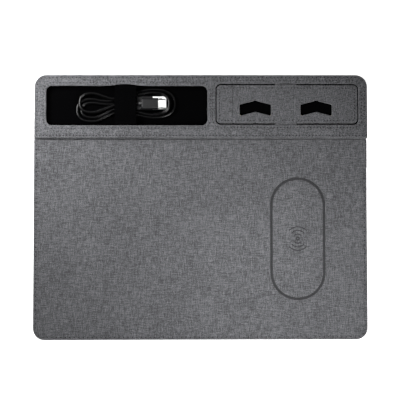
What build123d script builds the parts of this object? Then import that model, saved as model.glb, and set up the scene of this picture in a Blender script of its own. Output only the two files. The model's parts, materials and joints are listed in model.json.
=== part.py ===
"""Fabric desk pad with a wireless charging zone, a cable tray and a fold-up phone stand.

Millimetres. The origin is on the surface that the pad lies on, below the middle of its outline.
+X runs along the long side, +Y runs away from the user and +Z is up.
"""

from build123d import *
import math
import os

# ---------------------------------------------------------------- outline
pad_length = 300.0  # along X, over the raised strip
pad_depth = 238.0  # along Y
corner_radius = 10.5
side_reveal = 0.4  # the lower pad is this much wider than the raised strip, on each side
seam_y = 62.2  # front edge of the raised strip

# ---------------------------------------------------------------- layers, bottom to top
base_sheet_top = 0.8
base_board_top = 1.8
foam_top = 5.4
cover_thickness = 0.8
pad_top = foam_top + cover_thickness
strip_core_top = 9.4
strip_top = strip_core_top + cover_thickness
edge_rounding = 0.7
above_all = 20.0  # higher than every piece

# ---------------------------------------------------------------- windows in the strip
tray_centre = (-66.3, 91.9)
tray_size = (145.1, 35.2)
tray_radius = 5.0
well_centre = (78.2, 92.9)
well_size = (128.9, 37.0)
well_radius = 4.6
lining_thickness = 0.5
tray_floor = base_board_top + lining_thickness
tray_wall_top = 8.6
well_floor = 7.4
well_wall_top = 8.9

# ---------------------------------------------------------------- phone stand
plate_gap = 0.9  # all round, between plate and window
plate_thickness = 2.2
plate_top = strip_top - 0.2
plate_bottom = plate_top - plate_thickness
hinge_z = (plate_top + plate_bottom) / 2
plate_skin = 0.5
plate_radius = 3.7
leg_length = 20.0  # both legs of a side, hinge line to hinge line
ridge_x = {"left": 49.6, "right": 104.6}
towards_edge = {"left": -1.0, "right": 1.0}
crease_half_gap = 0.9  # half the open channel at a 60 degree crease
ridge_half_gap = 2.3  # half the open channel at the 120 degree ridge
notch_half_width = 14.1
notch_front_y = 82.8
notch_height = 9.9
notch_rise = 3.6  # the notch leans back by this much towards the ridge
notch_corner_radius = 1.6
tab_width = 19.2
tab_depth = 6.0
tab_bottom = 8.9
magnet_radius = 3.5
magnet_thickness = 1.0
keeper_size = (30.0, 10.0)
keeper_thickness = 0.5
keeper_corner = 1.0
keeper_offset = 18.0  # from a ridge to the middle of its keeper plates
magnet_offset = 8.0  # from an outer crease to its magnets
magnet_row_offset = 11.0  # from the plate's middle line to each row of magnets and keepers

# ---------------------------------------------------------------- charger
zone_centre = (87.7, -28.3)
zone_size = (49.6, 110.3)
zone_line = 2.1
mark_depth = 0.35
mark_thickness = 0.2
icon_line = 0.9
icon_arc_radii = (4.1, 7.4, 10.6)
icon_arc_half_angle = 50.0
icon_dot_radius = 1.8
icon_dot_bore = 0.7
housing_size = (54.0, 88.0)
housing_centre = (87.7, -11.3)
housing_radius = 8.0
housing_wall = 0.7
housing_split_z = 3.6
coil_outer_radius = 23.0
coil_inner_radius = 10.0
coil_thickness = 1.0
ferrite_thickness = 0.6
board_thickness = 0.8
turn_pitch = 1.3
turn_width = 1.1
ferrite_side = 48.0
ferrite_corner = 3.0
charger_board_size = (46.0, 32.0)
charger_board_y = 14.0
charger_board_corner = 1.5
chip_height = 0.9
chip_corner = 0.2
chip_places = [((7.0, 7.0), (-8.0, 2.0)), ((5.0, 5.0), (6.0, -6.0)), ((6.0, 5.0), (6.0, 6.0))]
capacitor_size = (3.0, 1.6)
capacitor_height = 1.2
capacitor_pitch = 4.2
capacitor_count = 4
capacitor_start = (-18.0, -11.0)

# ---------------------------------------------------------------- power inlet
inlet_y = 48.2
inlet_z = (base_board_top + foam_top) / 2
bezel_length = 24.8
bezel_inner_x = 146.4
bezel_outer_x = 150.6
receptacle_size = (8.94, 3.2)
receptacle_wall = 0.3
receptacle_back_x = 141.0
receptacle_front_x = 148.6
receptacle_rear_wall = 0.8
tongue_setback = 0.9  # behind the receptacle's mouth
bezel_seat_x = 149.2  # the receptacle's mouth stops short of this
lead_diameter = 2.0
lead_slot_width = 4.4
tongue_section = (6.7, 0.7)
inlet_board_width = 18.0
inlet_pocket_width = 22.0
inlet_pocket_margin = 6.5  # behind the receptacle
inlet_board_back = 4.5  # behind the receptacle
lead_route = [(111.2, 18.0), (119.0, 18.0), (125.5, 22.5), (127.3, 32.0), (128.3, 41.5), (135.6, 47.6)]

# ---------------------------------------------------------------- cable and plugs
cable_diameter = 3.2
hank_bottom = tray_floor + 0.05
hank_top = 8.7
band_width = 19.4
band_centre_x = -67.55
band_thickness = 0.8
band_crown = 12.3
band_tuck = 6.0  # sewn in below the frame at both ends
band_rise = 14.0  # from the front end to the crown
band_fall = 12.0  # from the crown to the rear end
band_bend_radius = 2.4
usb_a_centre = (94.6, 5.15)  # Y and Z of the plug's axis
usb_a_rear_x = -57.8
usb_a_front_x = -43.2
usb_a_tip_x = -30.9
usb_a_body = (13.0, 5.6)
usb_a_shell = (12.0, 4.5)
latch_hole_size = (2.5, 2.2)
latch_hole_offset = 2.9
usb_a_tongue_height = 1.9
plug_pocket_half_width = 7.6
plug_pocket_clearance = 1.4
plug_corner = 2.0
plug_rear_rounding = 1.2
usb_c_centre = (93.3, 10.4)
usb_c_rear_x = -53.3
usb_c_front_x = -38.1
usb_c_tip_x = -31.45
usb_c_body = (10.2, 4.8)
usb_c_shell = (8.25, 2.4)
relief_length = 2.4
relief_small_margin = 0.3
relief_large_margin = 0.9
shell_wall = 0.3

parts = {}


# ---------------------------------------------------------------- helpers
def slab(size, centre, z_low, z_high, radius):
    """Upright block with rounded corners in plan."""
    outline = Pos(centre[0], centre[1], z_low) * RectangleRounded(size[0], size[1], radius)
    return extrude(outline, amount=z_high - z_low)


def block(low, high):
    """Plain block between two corners."""
    size = [b - a for a, b in zip(low, high)]
    return Pos(*low) * Box(*size, align=(Align.MIN, Align.MIN, Align.MIN))


def disc(centre, radius, z_low, z_high):
    return Pos(centre[0], centre[1], z_low) * Cylinder(
        radius, z_high - z_low, align=(Align.CENTER, Align.CENTER, Align.MIN)
    )


def along_x(section, x_low, x_high, axis_y, axis_z):
    """Extrude a section, drawn with its width along Y and its height along Z, along X."""
    placed = Plane(origin=(x_low, axis_y, axis_z), x_dir=(0, 1, 0), z_dir=(1, 0, 0)) * section
    return extrude(placed, amount=x_high - x_low)


def grown(size, margin):
    return (size[0] + 2 * margin, size[1] + 2 * margin)


# ---------------------------------------------------------------- pad body
def pad_outline(inset, z_low, z_high):
    """Outline of the lower pad, which runs on under the raised strip."""
    size = (pad_length + 2 * (side_reveal - inset), pad_depth - 2 * inset)
    return slab(size, (0, 0), z_low, z_high, corner_radius - inset)


def strip_outline(inset, z_low, z_high):
    """Outline of the raised strip along the rear edge."""
    full = slab(grown((pad_length, pad_depth), -inset), (0, 0), z_low, z_high, corner_radius - inset)
    keep = block((-pad_length, seam_y + inset, z_low), (pad_length, pad_depth, z_high))
    return full & keep


def rounded_top(solid, z, radius):
    return fillet(solid.edges().filter_by(lambda e: abs(e.bounding_box().min.Z - z) < 1e-4), radius)


def make_pad_body():
    hole_size = grown(tray_size, lining_thickness)
    hole_radius = tray_radius + lining_thickness
    tray_hole = slab(hole_size, tray_centre, base_board_top, above_all, hole_radius)
    housing_hole = slab(housing_size, housing_centre, base_board_top, foam_top, housing_radius)

    parts["base_sheet"] = pad_outline(0, 0, base_sheet_top)
    parts["base_board"] = pad_outline(cover_thickness, base_sheet_top, base_board_top)

    foam = pad_outline(cover_thickness, base_board_top, foam_top) - tray_hole - housing_hole
    pocket_low = (receptacle_back_x - inlet_pocket_margin, inlet_y - inlet_pocket_width / 2, base_board_top)
    foam -= block(pocket_low, (pad_length, inlet_y + inlet_pocket_width / 2, foam_top))
    foam -= bezel_block(pad_length)
    parts["foam_core"] = foam - lead_channel()

    cover = rounded_top(pad_outline(0, base_sheet_top, pad_top), pad_top, edge_rounding)
    cover -= pad_outline(cover_thickness, base_sheet_top, foam_top)
    cover -= tray_hole
    cover -= bezel_block(pad_length)
    groove_floor = pad_top - mark_depth
    parts["main_cover"] = cover - zone_ring(groove_floor, above_all) - icon(groove_floor, above_all)


def window_box(centre, size):
    """Low and high corners, in plan, of a window with its lining."""
    half = [length / 2 + lining_thickness for length in size]
    return [c - h for c, h in zip(centre, half)], [c + h for c, h in zip(centre, half)]


def frame_rails(core, centre, size, x_low, x_high):
    """Four straight strips of the raised core around one window: front, rear, left and right."""
    low, high = window_box(centre, size)
    spans = [
        ((x_low, 0), (x_high, low[1])),
        ((x_low, high[1]), (x_high, pad_depth)),
        ((x_low, low[1]), (low[0], high[1])),
        ((high[0], low[1]), (x_high, high[1])),
    ]
    rails = [core & block((*a, pad_top), (*b, strip_core_top)) for a, b in spans]
    return Compound([solid for rail in rails for solid in rail.solids()])


def make_strip():
    tray_outer_size = grown(tray_size, lining_thickness)
    tray_outer_radius = tray_radius + lining_thickness
    well_outer_size = grown(well_size, lining_thickness)
    well_outer_radius = well_radius + lining_thickness
    under_well = well_floor - lining_thickness
    tray_outer = slab(tray_outer_size, tray_centre, base_board_top, tray_wall_top, tray_outer_radius)
    tray_inner = slab(tray_size, tray_centre, tray_floor, above_all, tray_radius)
    well_outer = slab(well_outer_size, well_centre, under_well, well_wall_top, well_outer_radius)
    well_inner = slab(well_size, well_centre, well_floor, above_all, well_radius)
    tray_lip = slab(tray_outer_size, tray_centre, tray_wall_top, strip_core_top, tray_outer_radius)
    well_lip = slab(well_outer_size, well_centre, well_wall_top, strip_core_top, well_outer_radius)
    band = elastic_band()
    tabs = anchor_tabs()

    core = strip_outline(cover_thickness, pad_top, strip_core_top) - band - tabs - keepers()
    split_x = (tray_centre[0] + tray_size[0] / 2 + well_centre[0] - well_size[0] / 2) / 2
    parts["tray_frame_rails"] = frame_rails(core, tray_centre, tray_size, -pad_length, split_x)
    parts["stand_frame_rails"] = frame_rails(core, well_centre, well_size, split_x, pad_length)
    low, high = window_box(well_centre, well_size)
    parts["well_underlay"] = core & block((*low, pad_top), (*high, under_well))

    cover = rounded_top(strip_outline(0, pad_top, strip_top), strip_top, edge_rounding)
    cover -= strip_outline(cover_thickness, pad_top, strip_core_top)
    cover = cover + tray_lip + well_lip - tray_inner - well_inner
    parts["strip_cover"] = cover - band - tabs

    parts["tray_lining"] = tray_outer - tray_inner - band
    well = well_outer - well_inner - tabs
    parts["stand_well_lining"] = well & block((-pad_length, 0, 0), (pad_length, pad_depth, well_floor))
    over_floor = block((-pad_length, 0, well_floor), (pad_length, pad_depth, above_all))
    parts["stand_well_edging"] = well & over_floor
    parts["elastic_band"] = band
    parts["keeper_plates"] = keepers()


def elastic_band():
    """Flat strap across the tray, sewn in at both ends and stretched over the bundle."""
    end_z = strip_core_top - band_thickness / 2
    rear = tray_centre[1] + tray_size[1] / 2
    front = tray_centre[1] - tray_size[1] / 2
    path = FilletPolyline(
        (front - band_tuck, end_z),
        (front - 0.4, end_z),
        (front + band_rise, band_crown),
        (rear - band_fall, band_crown),
        (rear + 0.4, end_z),
        (rear + band_tuck, end_z),
        radius=band_bend_radius,
    )
    profile = Plane.YZ * trace(path, line_width=band_thickness)
    return Pos(band_centre_x - band_width / 2, 0, 0) * extrude(profile, amount=band_width)


def keepers():
    """Steel strips under the well floor that the flap magnets hold on to, one row per side."""
    strips = []
    top = well_floor - lining_thickness
    for side, direction in towards_edge.items():
        middle = ridge_x[side] + direction * keeper_offset
        for row in (-1, 1):
            centre = (middle, well_centre[1] + row * magnet_row_offset)
            strips.append(slab(keeper_size, centre, top - keeper_thickness, top, keeper_corner))
    return Compound(strips)


# ---------------------------------------------------------------- charging zone
def zone_ring(z_low, z_high):
    radius = zone_size[0] / 2
    inner = grown(zone_size, -zone_line)
    outside = slab(zone_size, zone_centre, z_low, z_high, radius - 0.01)
    return outside - slab(inner, zone_centre, z_low, z_high, radius - zone_line - 0.01)


def icon(z_low, z_high):
    """Plain wireless sign: a ring with three arcs above it and three below."""
    dot = disc(zone_centre, icon_dot_radius, z_low, z_high)
    pieces = [dot - disc(zone_centre, icon_dot_bore, z_low, z_high)]
    for radius in icon_arc_radii:
        band = disc(zone_centre, radius + icon_line / 2, z_low, z_high)
        band -= disc(zone_centre, radius - icon_line / 2, z_low, z_high)
        for start in (90, 270):
            wedge = Pos(*zone_centre, z_low) * extrude(
                make_face(
                    Polyline(
                        (0, 0),
                        Vector(30, 0).rotate(Axis.Z, start - icon_arc_half_angle),
                        Vector(60, 0).rotate(Axis.Z, start),
                        Vector(30, 0).rotate(Axis.Z, start + icon_arc_half_angle),
                        close=True,
                    )
                ),
                amount=z_high - z_low,
            )
            pieces.append(band & wedge)
    return Compound([solid for piece in pieces for solid in piece.solids()])


def make_zone_marks():
    low = pad_top - mark_depth
    parts["charging_outline"] = zone_ring(low, low + mark_thickness)
    parts["charging_icon"] = icon(low, low + mark_thickness)


# ---------------------------------------------------------------- charger module
def make_charger():
    inner_radius = housing_radius - housing_wall
    cavity = slab(
        grown(housing_size, -housing_wall),
        housing_centre,
        base_board_top + housing_wall,
        foam_top - housing_wall,
        inner_radius,
    )
    lead_hole = Pos(housing_centre[0] + housing_size[0] / 2, lead_route[0][1], housing_split_z) * Rot(
        0, 90, 0
    ) * Cylinder(lead_diameter / 2, 6)
    lower = slab(housing_size, housing_centre, base_board_top, housing_split_z, housing_radius)
    upper = slab(housing_size, housing_centre, housing_split_z, foam_top, housing_radius)
    parts["charger_housing_lower"] = lower - cavity - lead_hole
    parts["charger_housing_upper"] = upper - cavity - lead_hole

    floor = base_board_top + housing_wall
    ferrite_top = floor + ferrite_thickness
    ferrite_size = (ferrite_side, ferrite_side)
    parts["ferrite_sheet"] = slab(ferrite_size, zone_centre, floor, ferrite_top, ferrite_corner)
    turns = []
    radius = coil_inner_radius
    while radius + turn_pitch <= coil_outer_radius + 0.01:
        ring = disc(zone_centre, radius + turn_width, ferrite_top, ferrite_top + coil_thickness)
        turns.append(ring - disc(zone_centre, radius, ferrite_top, ferrite_top + coil_thickness))
        radius += turn_pitch
    parts["transmitter_coil"] = Compound(turns)

    board_x, board_y = housing_centre[0], charger_board_y
    board_top = floor + board_thickness
    board = slab(charger_board_size, (board_x, board_y), floor, board_top, charger_board_corner)
    parts["charger_board"] = board
    chip_top = board_top + chip_height
    chips = []
    for size, (x, y) in chip_places:
        chips.append(slab(size, (board_x + x, board_y + y), board_top, chip_top, chip_corner))
    parts["controller_chips"] = Compound(chips)
    capacitors = []
    for column in range(capacitor_count):
        x = board_x + capacitor_start[0] + capacitor_pitch * column
        place = (x, board_y + capacitor_start[1])
        top = board_top + capacitor_height
        capacitors.append(slab(capacitor_size, place, board_top, top, chip_corner))
    parts["resonance_capacitors"] = Compound(capacitors)


def lead_channel():
    """Slot in the foam, wider than the lead, from the housing to the inlet."""
    slot = trace(Polyline(*lead_route), line_width=lead_slot_width)
    return Pos(0, 0, base_board_top) * extrude(slot, amount=foam_top - base_board_top)


def make_lead():
    points = [(x, y, housing_split_z) for x, y in lead_route]
    path = FilletPolyline(*points, radius=corner_radii(points))
    start = Plane(origin=path @ 0, z_dir=path % 0)
    parts["charger_lead"] = sweep(start * Circle(lead_diameter / 2), path=path)


def corner_radii(points):
    """As large an arc at each corner as its two runs allow."""
    vectors = [Vector(*p) for p in points]
    radii = []
    for before, here, after in zip(vectors, vectors[1:], vectors[2:]):
        first = here - before
        second = after - here
        turn = first.get_angle(second)
        shorter = min(first.length, second.length)
        half_turn = Vector(1, 0).rotate(Axis.Z, turn / 2)
        radii.append(0.45 * shorter * half_turn.X / half_turn.Y)
    print("arc radii:", [round(r, 1) for r in radii])
    return radii


# ---------------------------------------------------------------- power inlet
def bezel_block(outer_x):
    low = (bezel_inner_x, inlet_y - bezel_length / 2, base_board_top)
    return block(low, (outer_x, inlet_y + bezel_length / 2, foam_top))


def make_inlet():
    socket = SlotOverall(receptacle_size[0], receptacle_size[1])
    cavity = SlotOverall(receptacle_size[0] - 2 * receptacle_wall, receptacle_size[1] - 2 * receptacle_wall)
    shell = along_x(socket, receptacle_back_x, receptacle_front_x, inlet_y, inlet_z)
    back = receptacle_back_x + receptacle_rear_wall
    shell -= along_x(cavity, back, receptacle_front_x + 1, inlet_y, inlet_z)
    parts["usb_c_receptacle"] = shell
    mouth = receptacle_front_x - tongue_setback
    parts["receptacle_tongue"] = along_x(Rectangle(*tongue_section), back, mouth, inlet_y, inlet_z)

    bezel = bezel_block(bezel_outer_x) - along_x(socket, bezel_inner_x - 1, bezel_seat_x, inlet_y, inlet_z)
    bezel -= along_x(cavity, bezel_inner_x, bezel_outer_x + 1, inlet_y, inlet_z)
    parts["inlet_bezel"] = bezel

    half_board = board_thickness / 2
    board = block(
        (receptacle_back_x - inlet_board_back, inlet_y - inlet_board_width / 2, inlet_z - half_board),
        (bezel_inner_x, inlet_y + inlet_board_width / 2, inlet_z + half_board),
    )
    parts["inlet_board"] = board - along_x(socket, receptacle_back_x, bezel_outer_x, inlet_y, inlet_z)


# ---------------------------------------------------------------- phone stand
plate_y = (well_centre[1] - well_size[1] / 2 + plate_gap, well_centre[1] + well_size[1] / 2 - plate_gap)
plate_x = (well_centre[0] - well_size[0] / 2 + plate_gap, well_centre[0] + well_size[0] / 2 - plate_gap)


def notch(middle_x, margin):
    """Arrowhead opening across a ridge, widened by a margin all round."""
    half = notch_half_width
    front = notch_front_y
    rear = notch_front_y + notch_height
    corners = [
        (middle_x - half, front),
        (middle_x, front + notch_rise),
        (middle_x + half, front),
        (middle_x + half, rear),
        (middle_x, rear + notch_rise),
        (middle_x - half, rear),
    ]
    face = make_face(Polyline(*corners, close=True))
    face = fillet(face.vertices().filter_by(lambda v: abs(v.X - middle_x) > 1), notch_corner_radius)
    if margin > 0:
        face = offset(face, amount=margin)
    return Pos(0, 0, plate_bottom - 1) * extrude(face, amount=plate_thickness + 2)


def panel(x_a, x_b, opening_x=None):
    """One stiffened panel between two places along X: its board and the fabric around it."""
    x_low, x_high = min(x_a, x_b), max(x_a, x_b)
    plate = slab(
        (plate_x[1] - plate_x[0], plate_y[1] - plate_y[0]),
        ((plate_x[0] + plate_x[1]) / 2, (plate_y[0] + plate_y[1]) / 2),
        plate_bottom,
        plate_top,
        plate_radius,
    )
    core = slab(
        (plate_x[1] - plate_x[0] - 2 * plate_skin, plate_y[1] - plate_y[0] - 2 * plate_skin),
        ((plate_x[0] + plate_x[1]) / 2, (plate_y[0] + plate_y[1]) / 2),
        plate_bottom + plate_skin,
        plate_top - plate_skin,
        plate_radius - plate_skin,
    )
    keep = block((x_low, 0, 0), (x_high, pad_depth, above_all))
    outer = plate & keep
    board = core & keep
    if opening_x is not None:
        outer -= notch(opening_x, 0)
        board -= notch(opening_x, plate_skin)
    return board, outer - board


def anchor_tabs():
    """Ends of the centre panel's fabric, tucked under the frame and sewn in."""
    middle = (ridge_x["left"] + ridge_x["right"]) / 2
    tabs = []
    for edge, outward in ((plate_y[0], -1), (plate_y[1], 1)):
        near = edge
        far = edge + outward * (plate_gap + tab_depth)
        low_y, high_y = min(near, far), max(near, far)
        tabs.append(
            block(
                (middle - tab_width / 2, low_y, tab_bottom),
                (middle + tab_width / 2, high_y, strip_core_top),
            )
        )
    return Compound(tabs)


def magnets(middle_x):
    discs = []
    half = magnet_thickness / 2
    for row in (-1, 1):
        centre = (middle_x, well_centre[1] + row * magnet_row_offset)
        discs.append(disc(centre, magnet_radius, hinge_z - half, hinge_z + half))
    return Compound(discs)


def make_stand():
    inner_crease = {side: ridge_x[side] - towards_edge[side] * leg_length for side in ridge_x}
    board, cover = panel(
        inner_crease["left"] + crease_half_gap,
        inner_crease["right"] - crease_half_gap,
    )
    parts["centre_panel_board"] = board
    parts["centre_panel_cover"] = cover + anchor_tabs()

    for side, direction in towards_edge.items():
        ridge = ridge_x[side]
        outer_crease = ridge + direction * leg_length
        edge = plate_x[0] if side == "left" else plate_x[1]
        board, cover = panel(
            inner_crease[side] + direction * crease_half_gap,
            ridge - direction * ridge_half_gap,
            ridge,
        )
        parts[side + "_inner_leg_board"] = board
        parts[side + "_inner_leg_cover"] = cover
        board, cover = panel(
            ridge + direction * ridge_half_gap,
            outer_crease - direction * crease_half_gap,
            ridge,
        )
        parts[side + "_outer_leg_board"] = board
        parts[side + "_outer_leg_cover"] = cover
        board, cover = panel(outer_crease + direction * crease_half_gap, edge)
        discs = magnets(outer_crease + direction * magnet_offset)
        parts[side + "_end_flap_board"] = board - discs
        parts[side + "_end_flap_cover"] = cover
        parts[side + "_flap_magnets"] = discs


# ---------------------------------------------------------------- cable
def make_plugs():
    y, z = usb_a_centre
    body = along_x(RectangleRounded(*usb_a_body, plug_corner), usb_a_rear_x, usb_a_front_x, y, z)
    body = round_rear(body, usb_a_rear_x)
    parts["usb_a_plug_body"] = body + relief(usb_a_rear_x, y, z)
    outer = RectangleRounded(*usb_a_shell, 0.5)
    inner = RectangleRounded(usb_a_shell[0] - 2 * shell_wall, usb_a_shell[1] - 2 * shell_wall, 0.25)
    shell = along_x(outer, usb_a_front_x, usb_a_tip_x, y, z)
    shell -= along_x(inner, usb_a_front_x, usb_a_tip_x + 1, y, z)
    for side in (-1, 1):
        middle = Pos((usb_a_front_x + usb_a_tip_x) / 2 + 1.0, y + side * latch_hole_offset, z)
        shell -= middle * Box(*latch_hole_size, 2 * usb_a_shell[1] + 1)
    parts["usb_a_plug_shell"] = shell
    tongue_z = z - usb_a_shell[1] / 2 + shell_wall + usb_a_tongue_height / 2
    tongue = Rectangle(usb_a_shell[0] - 2 * shell_wall - 0.4, usb_a_tongue_height - 0.02)
    parts["usb_a_plug_tongue"] = along_x(tongue, usb_a_front_x, usb_a_tip_x - 0.4, y, tongue_z)

    y, z = usb_c_centre
    body = along_x(RectangleRounded(*usb_c_body, plug_corner), usb_c_rear_x, usb_c_front_x, y, z)
    body = round_rear(body, usb_c_rear_x)
    parts["usb_c_plug_body"] = body + relief(usb_c_rear_x, y, z)
    shell = along_x(SlotOverall(*usb_c_shell), usb_c_front_x, usb_c_tip_x, y, z)
    bore = SlotOverall(usb_c_shell[0] - 2 * shell_wall, usb_c_shell[1] - 2 * shell_wall)
    parts["usb_c_plug_shell"] = shell - along_x(bore, usb_c_front_x + 1.0, usb_c_tip_x + 1, y, z)


def round_rear(body, rear_x):
    rear_edges = body.edges().filter_by(lambda e: e.bounding_box().max.X < rear_x + 0.01)
    return fillet(rear_edges, plug_rear_rounding)


def relief(rear_x, y, z):
    """Tapered collar where the cable enters a plug."""
    wire = cable_diameter / 2
    cone = Cone(wire + relief_small_margin, wire + relief_large_margin, relief_length)
    return Pos(rear_x - relief_length / 2, y, z) * Rot(0, 90, 0) * cone


def make_cable():
    outline = [
        (-113.0, 88.0),
        (-110.5, 80.5),
        (-101.0, 76.7),
        (-89.0, 79.0),
        (-77.0, 84.6),
        (-66.0, 82.6),
        (-55.0, 80.6),
        (-42.0, 80.0),
        (-29.0, 81.0),
        (-22.5, 87.0),
        (-21.2, 94.5),
        (-24.5, 101.8),
        (-32.0, 107.0),
        (-43.0, 108.6),
        (-53.0, 107.4),
        (-63.0, 103.0),
        (-77.0, 98.8),
        (-87.0, 101.9),
        (-97.0, 104.9),
        (-106.0, 102.6),
        (-111.4, 96.0),
    ]
    face = make_face(Spline(*outline, periodic=True))
    hank = Pos(0, 0, hank_bottom) * extrude(face, amount=hank_top - hank_bottom)
    pocket_low = (usb_a_rear_x - relief_length, usb_a_centre[0] - plug_pocket_half_width, 0)
    pocket_high = (usb_a_tip_x + plug_pocket_clearance, usb_a_centre[0] + plug_pocket_half_width, above_all)
    parts["cable_hank"] = hank - block(pocket_low, pocket_high)

    y, z = usb_c_centre
    points = [
        (usb_c_rear_x - relief_length, y, z),
        (-60.0, y + 0.1, z - 0.2),
        (-64.5, y - 0.1, z - 0.9),
        (-69.0, y + 0.1, z - 1.8),
    ]
    path = FilletPolyline(*points, radius=corner_radii(points))
    start = Plane(origin=path @ 0, z_dir=path % 0)
    tube = sweep(start * Circle(cable_diameter / 2), path=path)
    section = math.pi * (cable_diameter / 2) ** 2
    print("cable tube volume over section times length:", tube.volume / (section * path.length))
    parts["cable_tail"] = tube


# ---------------------------------------------------------------- write
make_pad_body()
make_strip()
make_zone_marks()
make_charger()
make_lead()
make_inlet()
make_stand()
make_plugs()
make_cable()

os.makedirs("parts", exist_ok=True)
for name, shape in parts.items():
    export_step(shape, "parts/" + name + ".step")
print(len(parts), "nodes")
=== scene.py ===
"""A grey cloth desk pad with a charging zone, a cable tray and a fold-up phone stand, on a white table."""

import json
import math

import bmesh
import bpy
import numpy as np
from mathutils import Matrix, Vector
from mathutils.geometry import delaunay_2d_cdt


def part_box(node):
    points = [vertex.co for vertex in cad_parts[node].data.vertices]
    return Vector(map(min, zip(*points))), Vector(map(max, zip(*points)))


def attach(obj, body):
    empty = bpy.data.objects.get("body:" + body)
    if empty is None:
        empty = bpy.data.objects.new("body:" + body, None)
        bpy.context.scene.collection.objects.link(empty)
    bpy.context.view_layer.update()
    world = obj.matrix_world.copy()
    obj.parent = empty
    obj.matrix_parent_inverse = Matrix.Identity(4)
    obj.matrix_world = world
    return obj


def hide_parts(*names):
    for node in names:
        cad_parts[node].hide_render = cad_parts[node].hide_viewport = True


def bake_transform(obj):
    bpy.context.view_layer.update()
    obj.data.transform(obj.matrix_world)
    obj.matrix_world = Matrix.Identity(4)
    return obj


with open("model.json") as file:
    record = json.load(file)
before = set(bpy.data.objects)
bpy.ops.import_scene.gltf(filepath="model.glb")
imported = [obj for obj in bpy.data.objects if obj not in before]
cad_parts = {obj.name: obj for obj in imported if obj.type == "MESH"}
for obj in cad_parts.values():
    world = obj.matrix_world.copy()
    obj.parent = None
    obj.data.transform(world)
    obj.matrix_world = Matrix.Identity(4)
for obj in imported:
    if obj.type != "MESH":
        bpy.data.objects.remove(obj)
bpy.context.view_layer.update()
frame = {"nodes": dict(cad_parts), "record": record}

MM = 0.001
TAU = 2 * math.pi


# ------------------------------------------------------------------ camera
def make_camera():
    """Nearly straight down, with the small tilt that the picture was taken with."""
    data = bpy.data.cameras.new("camera")
    data.sensor_width = 36.0
    data.lens = 89.28
    data.clip_start = 0.05
    camera = bpy.data.objects.new("camera", data)
    camera.location = (-0.01166, -0.03044, 0.9)
    camera.rotation_euler = [math.radians(a) for a in (2.372, -0.716, -0.067)]
    bpy.context.scene.collection.objects.link(camera)
    bpy.context.scene.camera = camera


make_camera()


# ------------------------------------------------------------------ frame sizes
def box_of(node):
    low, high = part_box(node)
    return np.array(low), np.array(high)


pad_low, pad_high = box_of("main_cover")
strip_low, strip_high = box_of("strip_cover")
tray_low, tray_high = box_of("tray_lining")
well_low, well_high = box_of("stand_well_lining")
band_low, band_high = box_of("elastic_band")
zone_low, zone_high = box_of("charging_outline")
icon_low, icon_high = box_of("charging_icon")
inlet_low, inlet_high = box_of("inlet_bezel")
LINING = 0.5 * MM
CORNER = 10.5 * MM
TRAY_RADIUS = 5.0 * MM
WELL_RADIUS = 4.6 * MM
ZONE_LINE = 2.1  # millimetres
ICON_LINE = 0.9 * MM
PAD_STITCH_INSET = 2.4 * MM
STRIP_STITCH_INSET = 2.45 * MM
WINDOW_STITCH_INSET = 2.7 * MM
WINDOW_STITCH_PITCH = 3.0 * MM
THREAD_RADIUS = 0.34 * MM
# radius of the dark discs of painted shade at the needle holes
HOLE_SHADE_RADIUS = 0.57 * MM
INLET_STITCH_GAP = 13 * MM  # on each side of the inlet's middle


# ------------------------------------------------------------------ material helpers
def new_material(name, **sockets):
    """A material with a Principled shader, whose constant values sit on its own sockets."""
    material = bpy.data.materials.new(name)
    material.use_nodes = True
    shader = material.node_tree.nodes["Principled BSDF"]
    for socket, value in sockets.items():
        shader.inputs[socket.replace("_", " ")].default_value = value
    return material, material.node_tree, shader


def position_mm(tree, scale=(1.0, 1.0, 1.0)):
    """The point in millimetres, stretched along each axis."""
    place = tree.nodes.new("ShaderNodeTexCoord")
    mapping = tree.nodes.new("ShaderNodeMapping")
    mapping.vector_type = "POINT"
    mapping.inputs["Scale"].default_value = [s / MM for s in scale]
    tree.links.new(place.outputs["Object"], mapping.inputs["Vector"])
    return mapping.outputs["Vector"]


def noise(tree, scale, detail=2.0, roughness=0.5, distortion=0.0):
    texture = tree.nodes.new("ShaderNodeTexNoise")
    texture.inputs["Scale"].default_value = 1.0
    texture.inputs["Detail"].default_value = detail
    texture.inputs["Roughness"].default_value = roughness
    texture.inputs["Distortion"].default_value = distortion
    tree.links.new(position_mm(tree, scale), texture.inputs["Vector"])
    return texture.outputs["Fac"]


def wave(tree, direction, pitch, distortion=0.4):
    texture = tree.nodes.new("ShaderNodeTexWave")
    texture.wave_type = "BANDS"
    texture.bands_direction = direction
    texture.inputs["Scale"].default_value = 1.0
    texture.inputs["Distortion"].default_value = distortion
    texture.inputs["Detail"].default_value = 1.0
    # one band of this texture spans 2 pi / 20 units at scale 1
    stretch = TAU / 20 / pitch
    tree.links.new(position_mm(tree, (stretch,) * 3), texture.inputs["Vector"])
    return texture.outputs["Fac"]


def combine(tree, operation, first, second):
    node = tree.nodes.new("ShaderNodeMath")
    node.operation = operation
    for socket, value in zip(node.inputs, (first, second)):
        if isinstance(value, (int, float)):
            socket.default_value = value
        else:
            tree.links.new(value, socket)
    return node.outputs[0]


def weighted(tree, terms):
    """Sum of weight times (value - 0.5), around 0.5."""
    total = 0.5
    for value, weight in terms:
        centred = combine(tree, "MULTIPLY", combine(tree, "SUBTRACT", value, 0.5), weight)
        total = combine(tree, "ADD", centred, total)
    return total


def ramp(tree, value, stops):
    node = tree.nodes.new("ShaderNodeValToRGB")
    elements = node.color_ramp.elements
    while len(elements) < len(stops):
        elements.new(0.5)
    for element, (place, colour) in zip(elements, stops):
        element.position = place
        element.color = (*colour, 1.0)
    tree.links.new(value, node.inputs["Fac"])
    return node.outputs["Color"]


def bump(tree, shader, height, distance, strength=1.0):
    node = tree.nodes.new("ShaderNodeBump")
    node.inputs["Strength"].default_value = strength
    node.inputs["Distance"].default_value = distance
    tree.links.new(height, node.inputs["Height"])
    tree.links.new(node.outputs["Normal"], shader.inputs["Normal"])


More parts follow.
